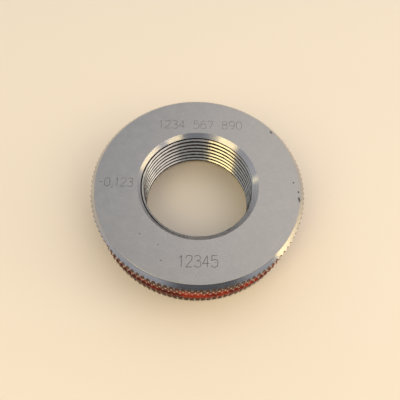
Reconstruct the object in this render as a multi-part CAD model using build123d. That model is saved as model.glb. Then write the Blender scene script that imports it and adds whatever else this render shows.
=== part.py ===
"""NO-GO thread ring gauge: one turned steel ring with a threaded bore and a knurled, grooved rim.

Millimetres. +Z runs up the bore, and Z = 0 is the lower face that the gauge rests on.
Apart from its thread, the ring is the same above and below its middle plane: one side is made and mirrored.
"""
import os
from math import ceil, cos, pi, radians, sin, tan

from build123d import *

# ---- driving dimensions ----
# thread that the gauge checks: metric fine, right-handed, 60 degree V
THREAD_NOMINAL_D = 28.0
THREAD_PITCH = 1.5
HALF_V_ANGLE = 30
THREAD_FACETS = 30  # flat facets that follow one turn
RUN_OUT_ANGLE = 275  # degrees round from +X, where the top turn leaves the countersink
# ring
OUTER_D = 52.0  # over the knurl tips
THICKNESS = 12.6
RIM_CHAMFER = 1.25  # both rim edges, 45 degrees
# groove round the rim that marks a NO-GO gauge
MARK_WIDTH = 3.1
MARK_DEPTH = 0.65
# knurl: crossed V grooves that leave pointed diamonds
KNURL_COUNT = 122  # diamonds round the rim
KNURL_DEPTH = 0.40
ROWS_PER_BAND = 2  # rows of diamonds between the groove and each chamfer

# ---- named clearances, as shares of the pitch unless marked ----
MINOR_DEPTH = 0.5413  # basic depth of a 60 degree thread
CREST_TRUNCATION = 0.05  # crest held back from the basic minor radius
ROOT_RELIEF = 0.10  # root cleared past the nominal radius
MOUTH_LAND = 0.35  # countersink mouth outside the root
RUN_OUT_DEPTH = 0.32  # middle of the V below the face, at the run-out angle
CUTTER_STAND = 0.13  # thread cutter's back inside the crests
TIP_SETBACK = 0.06  # mm from the last row of tips up to the chamfer's foot

# ---- derived sizes ----
OUTER_R = OUTER_D / 2
FACE_R = OUTER_R - RIM_CHAMFER
FLOOR_R = OUTER_R - MARK_DEPTH
HALF_THICKNESS = THICKNESS / 2
HALF_MARK = MARK_WIDTH / 2
BORE_R = THREAD_NOMINAL_D / 2 - (MINOR_DEPTH - CREST_TRUNCATION) * THREAD_PITCH
ROOT_R = THREAD_NOMINAL_D / 2 + ROOT_RELIEF * THREAD_PITCH
MOUTH_R = ROOT_R + MOUTH_LAND * THREAD_PITCH
COUNTERSINK = MOUTH_R - BORE_R  # 45 degrees, so its depth is its radial width
RUN_OUT_HEIGHT = HALF_THICKNESS - RUN_OUT_DEPTH * THREAD_PITCH
BAND_HEIGHT = HALF_THICKNESS - RIM_CHAMFER - HALF_MARK
ROW_HEIGHT = (BAND_HEIGHT - TIP_SETBACK) / ROWS_PER_BAND
KNURL_STEPS = range(2 * KNURL_COUNT)  # a tip or a pit at each step round the rim


def turned(*section):
    """Solid of revolution about Z from (radius, height) corners."""
    corners = [Vector(radius, 0, height) for radius, height in section]
    return revolve(Face(Wire.make_polygon(corners)), Axis.Z, 360)


def flat(*corners):
    """Flat face between corners."""
    return Face(Wire.make_polygon(corners))


def at(radius, angle, height):
    """Point at an angle, in radians, round the ring."""
    return Vector(radius * cos(angle), radius * sin(angle), height)


def rim_outline(radius, height):
    """Corners of a level polygon that has one at each step of the knurl."""
    return [at(radius, pi * step / KNURL_COUNT, height) for step in KNURL_STEPS]


def sides(low, high):
    """Pairs of corners that follow each other round two outlines: low, next low, next high, high."""
    return zip(low, low[1:] + low[:1], high[1:] + high[:1], high)


def knurl_point(step, row):
    """Corner of the knurl: tips and pits alternate round the rim and up the rows."""
    radius = OUTER_R if (step + row) % 2 == 0 else OUTER_R - KNURL_DEPTH
    return at(radius, pi * step / KNURL_COUNT, HALF_MARK + row * ROW_HEIGHT)


def diamond_quarters(step, row):
    """The two flat flanks, of neighbouring diamonds, that fill one cell between four corners."""
    corners = [
        knurl_point(step, row),
        knurl_point(step + 1, row),
        knurl_point(step + 1, row + 1),
        knurl_point(step, row + 1),
    ]
    if (step + row) % 2:
        corners = corners[1:] + corners[:1]
    tip, pit, far_tip, far_pit = corners
    return [flat(tip, pit, far_pit), flat(far_tip, far_pit, pit)]


def knurled_disc():
    """Disc from the groove's wall up past the top face, with diamonds all over its side."""
    rows = ROWS_PER_BAND + 1
    faces = []
    for row in range(rows):
        for step in KNURL_STEPS:
            faces += diamond_quarters(step, row)
    for row in (0, rows):
        faces.append(flat(*[knurl_point(step, row) for step in KNURL_STEPS]))
    return Solid(Shell(faces))


def chamfered_blank():
    """Disc for one side, its rim chamfer in facets as narrow as the knurl's."""
    base = rim_outline(OUTER_R + RIM_CHAMFER, 0)
    foot = rim_outline(OUTER_R + RIM_CHAMFER, HALF_THICKNESS - 2 * RIM_CHAMFER)
    top = rim_outline(FACE_R, HALF_THICKNESS)
    faces = [flat(*base), flat(*top)]
    for low, high in ((base, foot), (foot, top)):
        faces += [flat(*corners) for corners in sides(low, high)]
    return Solid(Shell(faces))


def plain_bore():
    """Cutter for the bore to the thread's crests, and for both countersinks."""
    wall = HALF_THICKNESS - COUNTERSINK
    past = HALF_THICKNESS + COUNTERSINK
    return turned(
        (0, -past),
        (MOUTH_R + COUNTERSINK, -past),
        (BORE_R, -wall),
        (BORE_R, wall),
        (MOUTH_R + COUNTERSINK, past),
        (0, past),
    )


def groove_section(facet):
    """The thread's V, this many facets past the place where the top turn runs out."""
    turn = facet / THREAD_FACETS
    angle = radians(RUN_OUT_ANGLE) + 2 * pi * turn
    height = RUN_OUT_HEIGHT + THREAD_PITCH * turn
    back_r = BORE_R - CUTTER_STAND * THREAD_PITCH
    half_mouth = (ROOT_R - back_r) * tan(radians(HALF_V_ANGLE))
    corners = [(back_r, -half_mouth), (ROOT_R, 0), (back_r, half_mouth)]
    return [at(radius, angle, height + rise) for radius, rise in corners]


def thread_groove():
    """Cutter for the thread: its V wound from face to face, in flat triangles where a helix twists."""
    facets_per_height = THREAD_FACETS / THREAD_PITCH
    first = -ceil((HALF_THICKNESS + RUN_OUT_HEIGHT) * facets_per_height)
    last = ceil((HALF_THICKNESS - RUN_OUT_HEIGHT) * facets_per_height)
    sections = [groove_section(facet) for facet in range(first, last + 1)]
    faces = [flat(*sections[0]), flat(*sections[-1])]
    for low, high in zip(sections, sections[1:]):
        for corner, next_corner, next_above, above in sides(low, high):
            faces.append(flat(corner, next_corner, next_above))
            faces.append(flat(corner, next_above, above))
    return Solid(Shell(faces))


def gauge_ring():
    """The whole ring, with Z = 0 at its lower face."""
    upper = chamfered_blank() & knurled_disc()
    waist = Cylinder(FLOOR_R, MARK_WIDTH)
    blank = upper + waist + mirror(upper, about=Plane.XY)
    return Pos(0, 0, HALF_THICKNESS) * (blank - plain_bore() - thread_groove())


os.makedirs("parts", exist_ok=True)
ring = gauge_ring().solid()
ring.label = "gauge_ring"
export_step(ring, "parts/gauge_ring.step")
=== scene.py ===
"""Looks of the NO-GO thread ring gauge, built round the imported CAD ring.

The ring's own form is kept. Its bore gets the real screw thread, its top face the shallow engraved numbers
and a few small dents, and each machined surface gets the finish of the tool that made it. Metres; +Z is up.
"""
from math import cos, pi, radians, sin, tan

import bmesh
import bpy
from mathutils import Matrix, Vector


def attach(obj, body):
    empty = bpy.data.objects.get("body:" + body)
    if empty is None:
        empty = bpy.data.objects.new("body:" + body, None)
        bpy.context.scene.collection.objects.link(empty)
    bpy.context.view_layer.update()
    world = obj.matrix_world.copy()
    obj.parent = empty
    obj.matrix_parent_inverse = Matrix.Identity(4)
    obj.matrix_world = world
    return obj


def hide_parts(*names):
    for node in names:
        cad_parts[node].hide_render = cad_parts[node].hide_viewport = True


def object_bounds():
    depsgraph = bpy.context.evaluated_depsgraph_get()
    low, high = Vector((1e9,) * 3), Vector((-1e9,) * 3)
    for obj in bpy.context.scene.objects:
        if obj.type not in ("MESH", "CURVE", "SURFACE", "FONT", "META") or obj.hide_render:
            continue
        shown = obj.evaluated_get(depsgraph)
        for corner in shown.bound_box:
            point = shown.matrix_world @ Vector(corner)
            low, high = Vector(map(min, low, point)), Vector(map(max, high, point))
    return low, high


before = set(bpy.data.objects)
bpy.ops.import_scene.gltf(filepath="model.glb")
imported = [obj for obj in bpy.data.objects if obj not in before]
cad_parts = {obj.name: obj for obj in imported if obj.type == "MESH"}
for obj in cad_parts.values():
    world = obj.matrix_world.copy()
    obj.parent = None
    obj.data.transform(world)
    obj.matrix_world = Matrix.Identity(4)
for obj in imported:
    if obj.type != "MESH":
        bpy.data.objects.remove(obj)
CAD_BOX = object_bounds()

MM = 0.001

# ---- the ring, in millimetres ----
THICKNESS = round(CAD_BOX[1].z / MM, 3)
MIDDLE = THICKNESS / 2
TIP_R = round(CAD_BOX[1].x / MM, 3)  # over the knurl's tips
RIM_CHAMFER = 1.25
FACE_R = TIP_R - RIM_CHAMFER  # the flat faces end here
HALF_GROOVE = 1.55  # half the width of the NO-GO groove
BORE_R = 13.263  # at the thread's crests
MOUTH_R = 14.675  # where the countersinks meet the faces
COUNTERSINK = MOUTH_R - BORE_R  # 45 degrees, so its depth is its radial width
EDGE_BREAK = 0.03  # lapping takes this much off the rims of the flat faces
FACE_STEPS = 14  # rings of small faces across each flat face, fine enough to be engraved

# ---- the thread: metric fine, right-handed ----
PITCH = 1.5
ROOT_R = 14.15
ROOT_FLAT = 0.06  # width left by the worn tip of the cutting tool
FLANK = radians(30)  # each flank leans this far from square to the axis
RUN_OUT_ANGLE = 275.0  # degrees round from +X, where the top turn leaves the countersink
RUN_OUT_DEPTH = 0.48  # depth of the groove's middle below the face there
STEPS_PER_TURN = 96
CUTTER_TURNS = 12
TURNS_BELOW = 10  # of these, how many lie below the run-out
CUTTER_STAND = 0.2  # how far inside the crests the cutter's V begins
CUTTER_BACK = 0.3  # thickness of the cutter behind its V

# distances in metres, under which corners are merged
CAD_WELD = 1e-6
SEAM_WELD = 2e-6
CAP_WELD = 1e-7

# telling the ring's surfaces apart
ON_FACE = 1e-3  # mm that a facet's middle may lie off the flat face or groove wall that it is part of
OFF_CONE = 0.04  # mm that it may lie off the cone of a chamfer or countersink
OFF_FLANK = 0.04  # how far the lean of a facet may be from that of the thread's flanks
CHAMFER_LEAN = 0.6  # a chamfer's facets lean up or down more than this, and the knurl's beside it less
SHARP = radians(15)  # corners that turn more than this aren't shaded round


# ---------------------------------------------------------------- shapes

def new_object(name, data):
    """Puts a mesh, curve, lamp or camera into the scene."""
    thing = bpy.data.objects.new(name, data)
    bpy.context.scene.collection.objects.link(thing)
    return thing


def mesh_from(bm, name):
    """Turns a finished bmesh into a mesh."""
    mesh = bpy.data.meshes.new(name)
    bm.to_mesh(mesh)
    bm.free()
    return mesh


def bmesh_of(thing):
    """A bmesh of an object, with its cut made or its curve's thickness given."""
    made = thing.evaluated_get(bpy.context.evaluated_depsgraph_get())
    bm = bmesh.new()
    bm.from_mesh(bpy.data.meshes.new_from_object(made))
    return bm


def below_face(height):
    """Depth under the nearer flat face, in millimetres."""
    return MIDDLE - abs(height - MIDDLE)


def outer_side():
    """A merged copy of the CAD ring's chamfers, knurl and groove, open towards the flat faces."""
    bm = bmesh.new()
    bm.from_mesh(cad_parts["gauge_ring"].data)
    bmesh.ops.remove_doubles(bm, verts=bm.verts, dist=CAD_WELD)
    inside = []
    for face in bm.faces:
        centre = face.calc_center_median() / MM
        if centre.xy.length < MOUTH_R or below_face(centre.z) < ON_FACE:
            inside.append(face)
    bmesh.ops.delete(bm, geom=inside, context="FACES")
    # the open edges slide down their chamfers, to leave room for the edge break
    slide = (FACE_R + EDGE_BREAK) / FACE_R
    for vert in [v for v in bm.verts if v.is_boundary]:
        drop = EDGE_BREAK if vert.co.z < MIDDLE * MM else -EDGE_BREAK
        vert.co = (vert.co.x * slide, vert.co.y * slide, vert.co.z + drop * MM)
    return bm


def inner_section():
    """Radius and height of each corner from the upper edge break down the bore and out to the lower one."""
    land = FACE_R - EDGE_BREAK - MOUTH_R
    steps = [(MOUTH_R + land * (1 - step / FACE_STEPS), THICKNESS) for step in range(FACE_STEPS + 1)]
    upper = steps + [(BORE_R, THICKNESS - COUNTERSINK)]
    lower = [(radius, THICKNESS - height) for radius, height in reversed(upper)]
    return upper + lower + [(FACE_R + EDGE_BREAK, EDGE_BREAK)]


def blank_ring():
    """The CAD ring's outer side, closed by new faces, countersinks and a plain bore for the thread."""
    bm = outer_side()
    loop = [e for e in bm.edges if e.is_boundary and e.verts[0].co.z > MIDDLE * MM]
    radius, height = FACE_R + EDGE_BREAK, THICKNESS - EDGE_BREAK
    for next_radius, next_height in inner_section():
        made = bmesh.ops.extrude_edge_only(bm, edges=loop)["geom"]
        loop = [e for e in made if isinstance(e, bmesh.types.BMEdge)]
        corners = [v for v in made if isinstance(v, bmesh.types.BMVert)]
        size = next_radius / radius
        bmesh.ops.scale(bm, verts=corners, vec=(size, size, 1))
        bmesh.ops.translate(bm, verts=corners, vec=(0, 0, (next_height - height) * MM))
        radius, height = next_radius, next_height
    bmesh.ops.remove_doubles(bm, verts=bm.verts, dist=SEAM_WELD)
    bmesh.ops.recalc_face_normals(bm, faces=bm.faces)
    return new_object("thread_ring", mesh_from(bm, "thread_ring"))


def thread_cutter():
    """The V groove between two threads, wound from under the lower face to above the upper one."""
    inner_r = BORE_R - CUTTER_STAND
    back_r = inner_r - CUTTER_BACK
    half_root = ROOT_FLAT / 2
    half_mouth = half_root + (ROOT_R - inner_r) * tan(FLANK)
    start_z = THICKNESS - RUN_OUT_DEPTH - TURNS_BELOW * PITCH
    corners = [
        (back_r, -half_mouth),
        (inner_r, -half_mouth),
        (ROOT_R, -half_root),
        (ROOT_R, half_root),
        (inner_r, half_mouth),
        (back_r, half_mouth),
    ]
    bm = bmesh.new()
    section = [bm.verts.new((r * MM, 0, (start_z + z) * MM)) for r, z in corners]
    bm.faces.new(section)
    to_run_out = Matrix.Rotation(radians(RUN_OUT_ANGLE), 3, "Z")
    bmesh.ops.rotate(bm, verts=section, cent=(0, 0, 0), matrix=to_run_out)
    bmesh.ops.spin(
        bm, geom=bm.verts[:] + bm.edges[:] + bm.faces[:], cent=(0, 0, 0), axis=(0, 0, 1),
        dvec=(0, 0, PITCH * MM / STEPS_PER_TURN), angle=2 * pi * CUTTER_TURNS,
        steps=STEPS_PER_TURN * CUTTER_TURNS, use_merge=False, use_duplicate=False,
    )
    bmesh.ops.recalc_face_normals(bm, faces=bm.faces)
    return new_object("thread_cutter", mesh_from(bm, "thread_cutter"))


# single-line numbers, as strokes on a grid that is somewhat overrun where two strokes meet
GRID_WIDE = 4
GRID_HIGH = 6


def both_sides(arc):
    """Two strokes for a closed loop: an arc and its mirror image."""
    return [arc, [(GRID_WIDE - x, y) for x, y in arc]]


SIX = both_sides([(2.4, 3.7), (0.3, 3.6), (-0.1, 1.8), (0.3, 0), (2.4, -0.1)]) + [
    [(3.3, 5.8), (1.5, 6.2), (0.3, 4.6), (0, 1.9)],
]
STROKES = {
    "0": both_sides([(2.4, 6), (0.3, 5.8), (0, 3), (0.3, 0.2), (2.4, 0)]),
    "1": [[(0.8, 4.7), (2.1, 6.1)], [(2, 6.2), (2, 0)]],
    "2": [
        [(0.2, 4.6), (0.4, 5.9), (2, 6), (3.8, 5.9), (3.9, 3.9), (2.2, 2.2), (0.1, 0.1)],
        [(0, 0), (4, 0)],
    ],
    "3": [
        [(0.2, 5.4), (1, 6), (3.6, 6), (3.8, 3.4), (1.6, 3.3)],
        [(1.7, 3.2), (4.1, 3.2), (4, 0), (1, -0.1), (0, 0.8)],
    ],
    "4": [[(2.8, 0), (2.8, 6)], [(2.9, 6.1), (0, 1.8)], [(-0.1, 1.8), (4, 1.8)]],
    "5": [
        [(3.7, 6), (0.6, 6)],
        [(0.6, 6.1), (0.3, 3.2)],
        [(0.3, 3.3), (1.2, 3.9), (3.9, 4), (4.2, 1.6), (3.2, 0), (1, -0.1), (0, 0.8)],
    ],
    "6": SIX,
    "7": [[(0, 6), (4, 6)], [(4, 6.1), (1.4, 0)]],
    "8": both_sides([(2.4, 6), (0.7, 5.9), (0.3, 4.7), (0.7, 3.4), (2.4, 3.3)])
    + both_sides([(2.4, 3.2), (0.3, 3.1), (0, 1.6), (0.3, 0.1), (2.4, 0)]),
    "9": [[(GRID_WIDE - x, GRID_HIGH - y) for x, y in stroke] for stroke in SIX],
    "-": [[(0.6, 3), (3.2, 3)]],
    ",": [[(1.2, 0.6), (0.4, -1.2)]],
}
LETTER_WIDTH = 0.84  # width of a step on the grid, as a share of its height
NARROW = {",": 0.45, "1": 0.9}  # shares of the advance that narrow characters take
# text, left end and baseline of its first character, height, advance, line radius and depth
ENGRAVED = [
    ("12345", (-2.9, -21.15), 2.6, 1.86, 0.08, 0.05),
    ("-0,123", (-23.9, -3.05), 2.3, 1.62, 0.075, 0.04),
    ("1234 567 890", (-11.5, 15.15), 2.5, 1.86, 0.07, 0.03),
]
TEXT_TURN = radians(4.3)  # the lines of numbers run this far round from +X

# dents in the top face: place, length, width and turn in degrees
DENTS = [
    ((17.75, 16.6), 0.9, 0.5, 120),
    ((23.1, 2.1), 0.55, 0.4, 60),
    ((24.2, -0.4), 0.7, 0.36, 110),
    ((24.3, -2.4), 1.5, 0.5, 97),
    ((-7.8, -16.5), 0.3, 0.22, 70),
    ((-6.7, -20.0), 0.34, 0.3, 0),
    ((-12.2, -14.2), 0.38, 0.18, 75),
    ((5.3, -19.5), 0.22, 0.18, 20),
]
DENT_DEPTH = 0.09


def number_strokes(order):
    """One stroke of each figure that has so many, as tubes along the top face: these never cross."""
    lines = bpy.data.curves.new("strokes", "CURVE")
    lines.dimensions = "3D"
    lines.bevel_depth = MM  # times the radius that each point is given
    lines.bevel_resolution = 1
    lines.use_fill_caps = True
    lines.resolution_u = 4
    turn = Matrix.Rotation(TEXT_TURN, 3, "Z")
    for text, corner, size, advance, tip, depth in ENGRAVED:
        origin = Vector((*corner, THICKNESS + tip - depth))
        unit = size / GRID_HIGH
        left = 0
        for figure in text:
            for stroke in STROKES.get(figure, [])[order:order + 1]:
                line = lines.splines.new("NURBS")
                line.points.add(len(stroke) - 1)
                for point, (x, y) in zip(line.points, stroke):
                    place = origin + turn @ Vector((left + x * unit * LETTER_WIDTH, y * unit, 0))
                    point.co = (*(place * MM), 1)
                    point.radius = tip
                line.order_u = 3
                line.use_endpoint_u = True
            left += advance * NARROW.get(figure, 1)
    drawn = new_object("strokes", lines)
    bm = bmesh_of(drawn)
    bpy.data.objects.remove(drawn)
    bmesh.ops.remove_doubles(bm, verts=bm.verts, dist=CAP_WELD)  # joins the caps to their tubes
    bmesh.ops.recalc_face_normals(bm, faces=bm.faces)
    return new_object("strokes", mesh_from(bm, "strokes"))


def dents():
    """Flattened balls that press the dents into the top face."""
    bm = bmesh.new()
    for (x, y), length, width, turn in DENTS:
        dent = bmesh.ops.create_icosphere(bm, subdivisions=2, radius=MM / 2)["verts"]
        bmesh.ops.scale(bm, verts=dent, vec=(length, width, 2 * DENT_DEPTH))
        bmesh.ops.rotate(bm, verts=dent, cent=(0, 0, 0), matrix=Matrix.Rotation(radians(turn), 3, "Z"))
        bmesh.ops.translate(bm, verts=dent, vec=Vector((x, y, THICKNESS)) * MM)
    return new_object("dents", mesh_from(bm, "dents"))


def cut(piece, tool):
    """Takes the tool's shape out of the piece, and throws the tool away."""
    step = piece.modifiers.new("cut", "BOOLEAN")
    step.operation = "DIFFERENCE"
    step.solver = "MANIFOLD"
    step.object = tool
    bm = bmesh_of(piece)
    piece.modifiers.clear()
    # a face with a cut inside it is drawn wrongly unless it is divided here
    bmesh.ops.triangulate(bm, faces=[f for f in bm.faces if len(f.verts) > 4], ngon_method="EAR_CLIP")
    bm.to_mesh(piece.data)
    bm.free()
    bpy.data.objects.remove(tool)


# ---------------------------------------------------------------- materials
#
# Patterns lie on the ring in millimetres, so the scale of a noise is one over the size of its marks. The
# value of a noise is mostly between 0.3 and 0.7.
# Sockets by number: MapRange takes its value as 0, the range that this comes from as 1 and 2 and the range
# that it goes to as 3 and 4. Mix takes its share as 0 and its colours as 6 and 7, and gives a colour as 2.

HANDLED_SIDE = 232  # degrees round from +X: where the ring is picked up, so that its paint is dirtiest


def aim(azimuth, elevation):
    """Unit vector towards a direction given in degrees."""
    a, e = radians(azimuth), radians(elevation)
    return Vector((cos(a) * cos(e), sin(a) * cos(e), sin(e)))


def linear(code):
    """sRGB hex to linear RGBA."""
    parts = [int(code[i:i + 2], 16) / 255 for i in (1, 3, 5)]
    return tuple(p / 12.92 if p <= 0.04045 else ((p + 0.055) / 1.055) ** 2.4 for p in parts) + (1,)


def plug(tree, node, inputs):
    """Sets a node's inputs, and links those that are given another node's output."""
    for socket, value in inputs.items():
        if isinstance(value, bpy.types.NodeSocket):
            tree.links.new(value, node.inputs[socket])
        else:
            node.inputs[socket].default_value = value


def add(tree, kind, inputs, out=0, **settings):
    """Adds one node with its settings and links, and gives back one of its outputs."""
    node = tree.nodes.new("ShaderNode" + kind)
    for name, value in settings.items():
        setattr(node, name, value)
    plug(tree, node, inputs)
    return node.outputs[out]


def new_finish(name):
    """An empty finish: its material, node tree and shader, and the place on the ring in millimetres."""
    material = bpy.data.materials.new(name)
    material.use_nodes = True
    tree = material.node_tree
    metres = add(tree, "TexCoord", {}, out="Object")
    point = add(tree, "VectorMath", {0: metres, "Scale": 1 / MM}, operation="SCALE")
    return material, tree, tree.nodes["Principled BSDF"], point


def radius_of(tree, point):
    """Distance from the bore's axis, in millimetres."""
    level = add(tree, "VectorMath", {0: point, 1: (1, 1, 0)}, operation="MULTIPLY")
    return add(tree, "VectorMath", {0: level}, out="Value", operation="LENGTH")


def off_middle(tree, point):
    """Distance from the ring's middle plane, in millimetres."""
    height = add(tree, "SeparateXYZ", {0: point}, out="Z")
    above = add(tree, "Math", {0: height, 1: MIDDLE}, operation="SUBTRACT")
    return add(tree, "Math", {0: above}, operation="ABSOLUTE")


def lapped_steel():
    """Hardened tool steel lapped flat with fine grit: matte grey, lightly clouded, crossed by hairlines."""
    material, tree, shader, point = new_finish("lapped_steel")
    clouds = add(tree, "TexNoise", {"Vector": point, "Scale": 1 / 2.5, "Detail": 3.0})
    # grit marks are 0.01 mm across; drawn at 0.2 mm, so that they show
    grit = add(tree, "TexNoise", {"Vector": point, "Scale": 1 / 0.2, "Detail": 3.0, "Roughness": 0.7})
    speck = add(tree, "MapRange", {0: grit, 1: 0.3, 2: 0.7})
    colour = add(tree, "Mix", {0: speck, 6: linear("#989592"), 7: linear("#ADA9A6")},
                 out=2, data_type="RGBA")
    shadow = add(tree, "MapRange", {0: clouds, 1: 0.25, 2: 0.75, 3: 0.93, 4: 1.04})
    colour = add(tree, "VectorMath", {0: colour, "Scale": shadow}, operation="SCALE")
    # hairlines are as fine; four sets of them, each drawn 0.1 mm wide and some 5 mm long
    for turn in (22, 68, 113, 158):
        strip = add(tree, "Mapping", {"Vector": point, "Rotation": (0, 0, radians(turn)),
                                      "Scale": (5, 0.2, 1)}, vector_type="TEXTURE")
        streak = add(tree, "TexNoise", {"Vector": strip, "Scale": 1.0, "Detail": 2.0})
        line = add(tree, "MapRange", {0: streak, 1: 0.66, 2: 0.78, 3: 0.0, 4: 0.35})
        colour = add(tree, "Mix", {0: line, 6: colour, 7: linear("#C6C1BD")}, out=2, data_type="RGBA")
    relief = add(tree, "Bump", {"Height": grit, "Distance": 0.0015 * MM})
    gloss = add(tree, "MapRange", {0: clouds, 1: 0.3, 2: 0.7, 3: 0.36, 4: 0.43})
    plug(tree, shader, {"Base Color": colour, "Metallic": 1.0, "Roughness": gloss, "Normal": relief})
    return material


def turned_steel(name, finest, coarsest, smear):
    """Tool steel as the lathe left it: bright, with fine turning lines that draw glints out across them."""
    material, tree, shader, point = new_finish(name)
    # the feed is about 0.05 mm a turn; drawn three times as coarse, so that its lines show
    lines = add(tree, "TexNoise", {"W": radius_of(tree, point), "Scale": 1 / 0.154, "Detail": 2.0},
                noise_dimensions="1D")
    ridge = add(tree, "MapRange", {0: lines, 1: 0.35, 2: 0.65})
    colour = add(tree, "Mix", {0: ridge, 6: linear("#A9A8AA"), 7: linear("#C0BFC1")},
                 out=2, data_type="RGBA")
    stains = add(tree, "TexNoise", {"Vector": point, "Scale": 1 / 1.43, "Detail": 3.0})
    gloss = add(tree, "MapRange", {0: stains, 1: 0.3, 2: 0.7, 3: finest, 4: coarsest})
    around = add(tree, "Tangent", {}, direction_type="RADIAL", axis="Z")
    relief = add(tree, "Bump", {"Height": lines, "Distance": 0.002 * MM})
    # a quarter turn, because the glints run across the turning lines
    plug(tree, shader, {"Base Color": colour, "Metallic": 1.0, "Roughness": gloss, "Anisotropic": smear,
                        "Anisotropic Rotation": 0.25, "Tangent": around, "Normal": relief})
    return material


def turned_chamfer():
    """The rim's chamfers, turned with a fine feed: glossy, with sharp light and dark stretches."""
    return turned_steel("turned_chamfer", 0.14, 0.20, 0.4)


def bored_countersink():
    """The mouths of the thread, bored with a coarser feed: softer, with glints drawn out across them."""
    return turned_steel("bored_countersink", 0.26, 0.32, 0.9)


def thread_steel():
    """Thread with lapped flanks, bright as a mirror; crests and roots get painted shade and a painted dark
    reflection.
    """
    material, tree, shader, point = new_finish("thread_steel")
    # smears of the lap run along the turns, and are a sixth as high as they are long
    drawn = add(tree, "Mapping", {"Vector": point, "Scale": (1, 1, 6)})
    smears = add(tree, "TexNoise", {"Vector": drawn, "Scale": 1 / 1.11, "Detail": 3.0})
    wobble = add(tree, "MapRange", {0: smears, 1: 0.3, 2: 0.7, 3: -0.04, 4: 0.04})
    lapped = add(tree, "Math", {0: radius_of(tree, point), 1: wobble}, operation="ADD")
    flank = add(tree, "Mix", {0: smears, 6: linear("#A3A19B"), 7: linear("#BFBDB4")},
                out=2, data_type="RGBA")
    # the edges of the crests and the deeper half of the groove are painted dark: painted shade, and on the
    # crests a painted dark reflection
    off_crest = add(tree, "MapRange", {0: lapped, 1: BORE_R + 0.05, 2: BORE_R + 0.11})
    off_root = add(tree, "MapRange", {0: lapped, 1: ROOT_R - 0.50, 2: ROOT_R - 0.42, 3: 1.0, 4: 0.0})
    bright = add(tree, "Math", {0: off_crest, 1: off_root}, operation="MULTIPLY")
    # the part turns that the countersinks cut are painted almost black, as painted shade
    end_turn = MIDDLE - COUNTERSINK
    painted_dark_end_turns = add(tree, "MapRange", {0: off_middle(tree, point), 1: end_turn - 0.1, 2: end_turn + 0.1})
    # dark brown painted shade on crests and roots, almost black painted shade on the part turns
    painted_shade = add(tree, "Mix", {0: painted_dark_end_turns, 6: linear("#372F2A"), 7: linear("#131217")},
               out=2, data_type="RGBA")
    colour = add(tree, "Mix", {0: bright, 6: painted_shade, 7: flank}, out=2, data_type="RGBA")
    gloss = add(tree, "MapRange", {0: bright, 3: 0.38, 4: 0.16})
    plug(tree, shader, {"Base Color": colour, "Metallic": 1.0, "Roughness": gloss})
    return material


def paint_colour(tree, point):
    """Red enamel put on by brush: thick and thin coats, and dirt that has stuck to it in places."""
    coats = add(tree, "TexNoise", {"Vector": point, "Scale": 1 / 2.22, "Detail": 4.0})
    thin = add(tree, "MapRange", {0: coats, 1: 0.38, 2: 0.62})
    red = add(tree, "Mix", {0: thin, 6: linear("#762010"), 7: linear("#AC3A1C")}, out=2, data_type="RGBA")
    dirt = add(tree, "TexNoise", {"Vector": point, "Scale": 1 / 5.88, "Detail": 4.0})
    # dirtier from about 30 degrees off the handled side, and most within 14
    handled = add(tree, "VectorMath", {0: point, 1: aim(HANDLED_SIDE, 0)},
                  out="Value", operation="DOT_PRODUCT")
    soiled = add(tree, "MapRange", {0: handled, 1: 0.86 * TIP_R, 2: 0.97 * TIP_R, 3: 0.0, 4: 0.16})
    dirt = add(tree, "Math", {0: dirt, 1: soiled}, operation="ADD")
    dirty = add(tree, "MapRange", {0: dirt, 1: 0.50, 2: 0.60, 3: 0.0, 4: 0.7})
    return add(tree, "Mix", {0: dirty, 6: red, 7: linear("#3A1A12")}, out=2, data_type="RGBA")


def knurled_steel():
    """Cross-rolled knurl: burnished tips with a painted highlight, over oily pits painted dark brown as
    shade, and red where paint ran off the groove.
    """
    material, tree, shader, point = new_finish("knurled_steel")
    marks = add(tree, "TexNoise", {"Vector": point, "Scale": 1 / 0.5, "Detail": 3.0})
    wobble = add(tree, "MapRange", {0: marks, 1: 0.3, 2: 0.7, 3: -0.05, 4: 0.05})
    lift = add(tree, "Math", {0: radius_of(tree, point), 1: wobble}, operation="ADD")
    tip = add(tree, "MapRange", {0: lift, 1: TIP_R - 0.20, 2: TIP_R - 0.08})
    # pale tips carry a painted highlight, and the dark brown pits painted shade
    metal_with_painted_light = add(tree, "Mix", {0: tip, 6: linear("#4A281A"), 7: linear("#D8C9BF")}, out=2, data_type="RGBA")
    # paint runs 0.2 to 1.9 mm past the groove, and stays in the pits
    runs = add(tree, "TexNoise", {"Vector": point, "Scale": 1 / 2, "Detail": 4.0})
    reach = add(tree, "MapRange", {0: runs, 1: 0.35, 2: 0.65, 3: HALF_GROOVE + 0.2, 4: HALF_GROOVE + 1.9})
    wet = add(tree, "Math", {0: off_middle(tree, point), 1: reach}, operation="LESS_THAN")
    deep = add(tree, "MapRange", {0: lift, 1: TIP_R - 0.15, 2: TIP_R - 0.05, 3: 0.9, 4: 0.0})
    painted = add(tree, "Math", {0: wet, 1: deep}, operation="MULTIPLY")
    paint = paint_colour(tree, point)
    colour = add(tree, "Mix", {0: painted, 6: metal_with_painted_light, 7: paint}, out=2, data_type="RGBA")
    bare = add(tree, "MapRange", {0: painted, 3: 1.0, 4: 0.0})
    gloss = add(tree, "MapRange", {0: lift, 1: TIP_R - 0.2, 2: TIP_R - 0.02, 3: 0.45, 4: 0.18})
    plug(tree, shader, {"Base Color": colour, "Metallic": bare, "Roughness": gloss})
    return material


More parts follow.
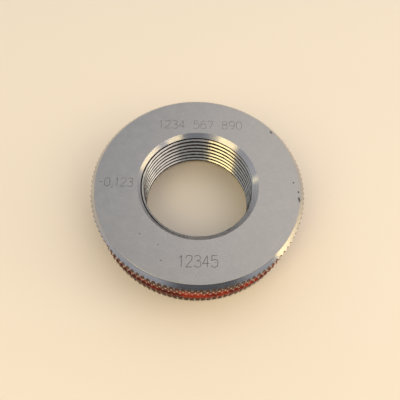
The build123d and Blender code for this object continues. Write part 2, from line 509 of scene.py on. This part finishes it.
def red_enamel():
    """Paint in the NO-GO groove: half gloss, uneven, rubbed through to steel on the groove's corners."""
    material, tree, shader, point = new_finish("red_enamel")
    worn = add(tree, "MapRange", {0: radius_of(tree, point), 1: TIP_R - 0.14, 2: TIP_R - 0.05})
    paint = paint_colour(tree, point)
    colour = add(tree, "Mix", {0: worn, 6: paint, 7: linear("#CFC6C0")}, out=2, data_type="RGBA")
    lumps = add(tree, "TexNoise", {"Vector": point, "Scale": 1 / 0.4, "Detail": 3.0})
    relief = add(tree, "Bump", {"Height": lumps, "Distance": 0.03 * MM})
    gloss = add(tree, "MapRange", {0: worn, 3: 0.42, 4: 0.22})
    plug(tree, shader, {"Base Color": colour, "Metallic": worn, "Roughness": gloss, "Normal": relief})
    return material


def engraved_steel():
    """Bottoms of engraved lines and dents: torn by the point that made them, and darkened by old oil and
    painted shade.
    """
    material, tree, shader, point = new_finish("engraved_steel")
    oil_and_shade = add(tree, "TexNoise", {"Vector": point, "Scale": 1 / 0.83, "Detail": 2.0})
    dry = add(tree, "MapRange", {0: oil_and_shade, 1: 0.3, 2: 0.7})
    # dark grey: old oil, and painted shade in the recesses
    colour = add(tree, "Mix", {0: dry, 6: linear("#4F4945"), 7: linear("#7B7571")},
                 out=2, data_type="RGBA")
    plug(tree, shader, {"Base Color": colour, "Metallic": 1.0, "Roughness": 0.5})
    return material


FINISHES = {
    "lapped": lapped_steel,
    "turned": turned_chamfer,
    "countersunk": bored_countersink,
    "threaded": thread_steel,
    "knurled": knurled_steel,
    "painted": red_enamel,
    "engraved": engraved_steel,
}


def finish_of(centre, normal):
    """Which finish a face of the ring has, from where it is and which way it faces (millimetres)."""
    radius = centre.xy.length
    below = below_face(centre.z)
    lean = abs(normal.z)
    if below < ON_FACE:
        return "lapped"
    if radius < MOUTH_R:
        on_countersink = abs(radius - MOUTH_R + below) < OFF_CONE
        on_flank = abs(lean - cos(FLANK)) < OFF_FLANK
        return "countersunk" if on_countersink and not on_flank else "threaded"
    if radius < FACE_R - EDGE_BREAK:
        return "engraved"
    if below < EDGE_BREAK:
        return "lapped"
    if abs(radius - FACE_R - below) < OFF_CONE and lean > CHAMFER_LEAN:
        return "turned"
    return "knurled" if below < MIDDLE - HALF_GROOVE - ON_FACE else "painted"


def dress(ring):
    """Gives every face its finish, and keeps true corners sharp while turned surfaces shade round."""
    ring.data.materials.clear()
    for make in FINISHES.values():
        ring.data.materials.append(make())
    order = list(FINISHES)
    bm = bmesh.new()
    bm.from_mesh(ring.data)
    bm.normal_update()
    for face in bm.faces:
        face.material_index = order.index(finish_of(face.calc_center_median() / MM, face.normal))
        face.smooth = True
    for edge in bm.edges:
        edge.smooth = len(edge.link_faces) == 2 and edge.calc_face_angle(pi) < SHARP
    bm.to_mesh(ring.data)
    bm.free()


# ---------------------------------------------------------------- studio

EYE_PLACE = (0.73028, -44.3392, 93.29501)  # millimetres
EYE_TILT = 26.212926  # degrees from straight down, towards the far side
EYE_ROLL = 4.580455  # degrees anticlockwise
FOCAL_LENGTH = 34.3207  # millimetres
FILM_WIDTH = 36  # millimetres
NEAREST_SEEN = 0.005  # metres
FLOOR_HALF = 1.5  # metres from the ring to each edge of the floor
LAMP_DISTANCE = 0.6  # metres
# azimuth and elevation in degrees, width and height in metres, radiance and colour
LAMPS = {
    "right_window": (1, 27, 0.38, 0.29, 1.75, "#FFE4A6"),
    "right_sky": (-14, 50, 0.54, 0.24, 1.0, "#F8E8E0"),
    "right_sill": (-1, 6, 0.42, 0.12, 2.5, "#FFE29C"),
    "near_window": (-45, 33, 0.22, 0.22, 2.5, "#FFE6A0"),
    "left_window": (-134, 47, 0.28, 0.50, 2.9, "#FFE49A"),
    "back_window": (161, 14, 0.05, 0.22, 2.2, "#FFECB4"),
    "ceiling": (50, 62, 0.6, 0.5, 0.6, "#FFF8F0"),
}


def camera():
    """Looks down at the ring from the near side."""
    lens = bpy.data.cameras.new("camera")
    lens.lens = FOCAL_LENGTH
    lens.sensor_width = FILM_WIDTH
    lens.clip_start = NEAREST_SEEN
    eye = new_object("camera", lens)
    turn = Matrix.Rotation(radians(EYE_TILT), 4, "X") @ Matrix.Rotation(radians(EYE_ROLL), 4, "Z")
    eye.matrix_world = Matrix.Translation(Vector(EYE_PLACE) * MM) @ turn
    bpy.context.scene.camera = eye


def softbox(name, azimuth, elevation, width, height, radiance, shade):
    """An area lamp that shines on the ring from one side, as bright as a surface of that radiance."""
    lamp = bpy.data.lights.new(name, "AREA")
    lamp.shape = "RECTANGLE"
    lamp.size, lamp.size_y = width, height
    lamp.energy = radiance * pi * width * height
    lamp.color = linear(shade)[:3]
    box = new_object(name, lamp)
    towards = aim(azimuth, elevation)
    turn = towards.to_track_quat("Z", "Y").to_matrix().to_4x4()
    box.matrix_world = Matrix.Translation(towards * LAMP_DISTANCE) @ turn


def pale_floor():
    """A floor of smooth pale board, which is no part of the ring."""
    bm = bmesh.new()
    bmesh.ops.create_grid(bm, x_segments=1, y_segments=1, size=FLOOR_HALF)
    floor = new_object("floor", mesh_from(bm, "floor"))
    board = bpy.data.materials.new("pale_board")
    board.use_nodes = True
    tree = board.node_tree
    plug(tree, tree.nodes["Principled BSDF"], {"Base Color": linear("#EADECD"), "Roughness": 0.45})
    floor.data.materials.append(board)


def room():
    """The room that the steel reflects. Each patch of it fades between two angles from its middle."""
    world = bpy.data.worlds.new("studio")
    bpy.context.scene.world = world
    world.use_nodes = True
    tree = world.node_tree
    tree.nodes.clear()
    look = add(tree, "TexCoord", {}, out="Generated")
    # cooler behind on the left, and dimmer and bluer on the near side
    behind = add(tree, "VectorMath", {0: look, 1: aim(138, 52)}, out="Value", operation="DOT_PRODUCT")
    cool = add(tree, "MapRange", {0: behind, 1: cos(radians(44)), 2: cos(radians(12))})
    far = add(tree, "Mix", {0: cool, 6: linear("#F0EDE9"), 7: linear("#D6DFEC")}, out=2, data_type="RGBA")
    near = add(tree, "VectorMath", {0: look, 1: aim(-90, 32)}, out="Value", operation="DOT_PRODUCT")
    dim = add(tree, "MapRange", {0: near, 1: cos(radians(88)), 2: cos(radians(52))})
    level = add(tree, "MapRange", {0: dim, 3: 0.92, 4: 0.72})
    shade = add(tree, "Mix", {0: dim, 6: far, 7: linear("#D9DDE6")}, out=2, data_type="RGBA")
    # darkest is where whoever works at the bench stands
    person = add(tree, "VectorMath", {0: look, 1: aim(-78, 8)}, out="Value", operation="DOT_PRODUCT")
    hidden = add(tree, "MapRange", {0: person, 1: cos(radians(36)), 2: cos(radians(20)), 3: 1.0, 4: 0.29})
    level = add(tree, "Math", {0: level, 1: hidden}, operation="MULTIPLY")
    # past the floor the same room shows undimmed, as a pale backdrop
    seen = add(tree, "LightPath", {}, out="Is Camera Ray")
    level = add(tree, "Math", {0: level, 1: seen}, operation="MAXIMUM")
    walls = add(tree, "Background", {"Color": shade, "Strength": level})
    plug(tree, tree.nodes.new("ShaderNodeOutputWorld"), {"Surface": walls})


ring = blank_ring()
cut(ring, thread_cutter())
cut(ring, dents())
for order in range(max(len(strokes) for strokes in STROKES.values())):
    cut(ring, number_strokes(order))
dress(ring)
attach(ring, "root")
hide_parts("gauge_ring")

bpy.context.scene.view_settings.view_transform = "Standard"
pale_floor()
room()
for name, lamp in LAMPS.items():
    softbox(name, *lamp)
camera()
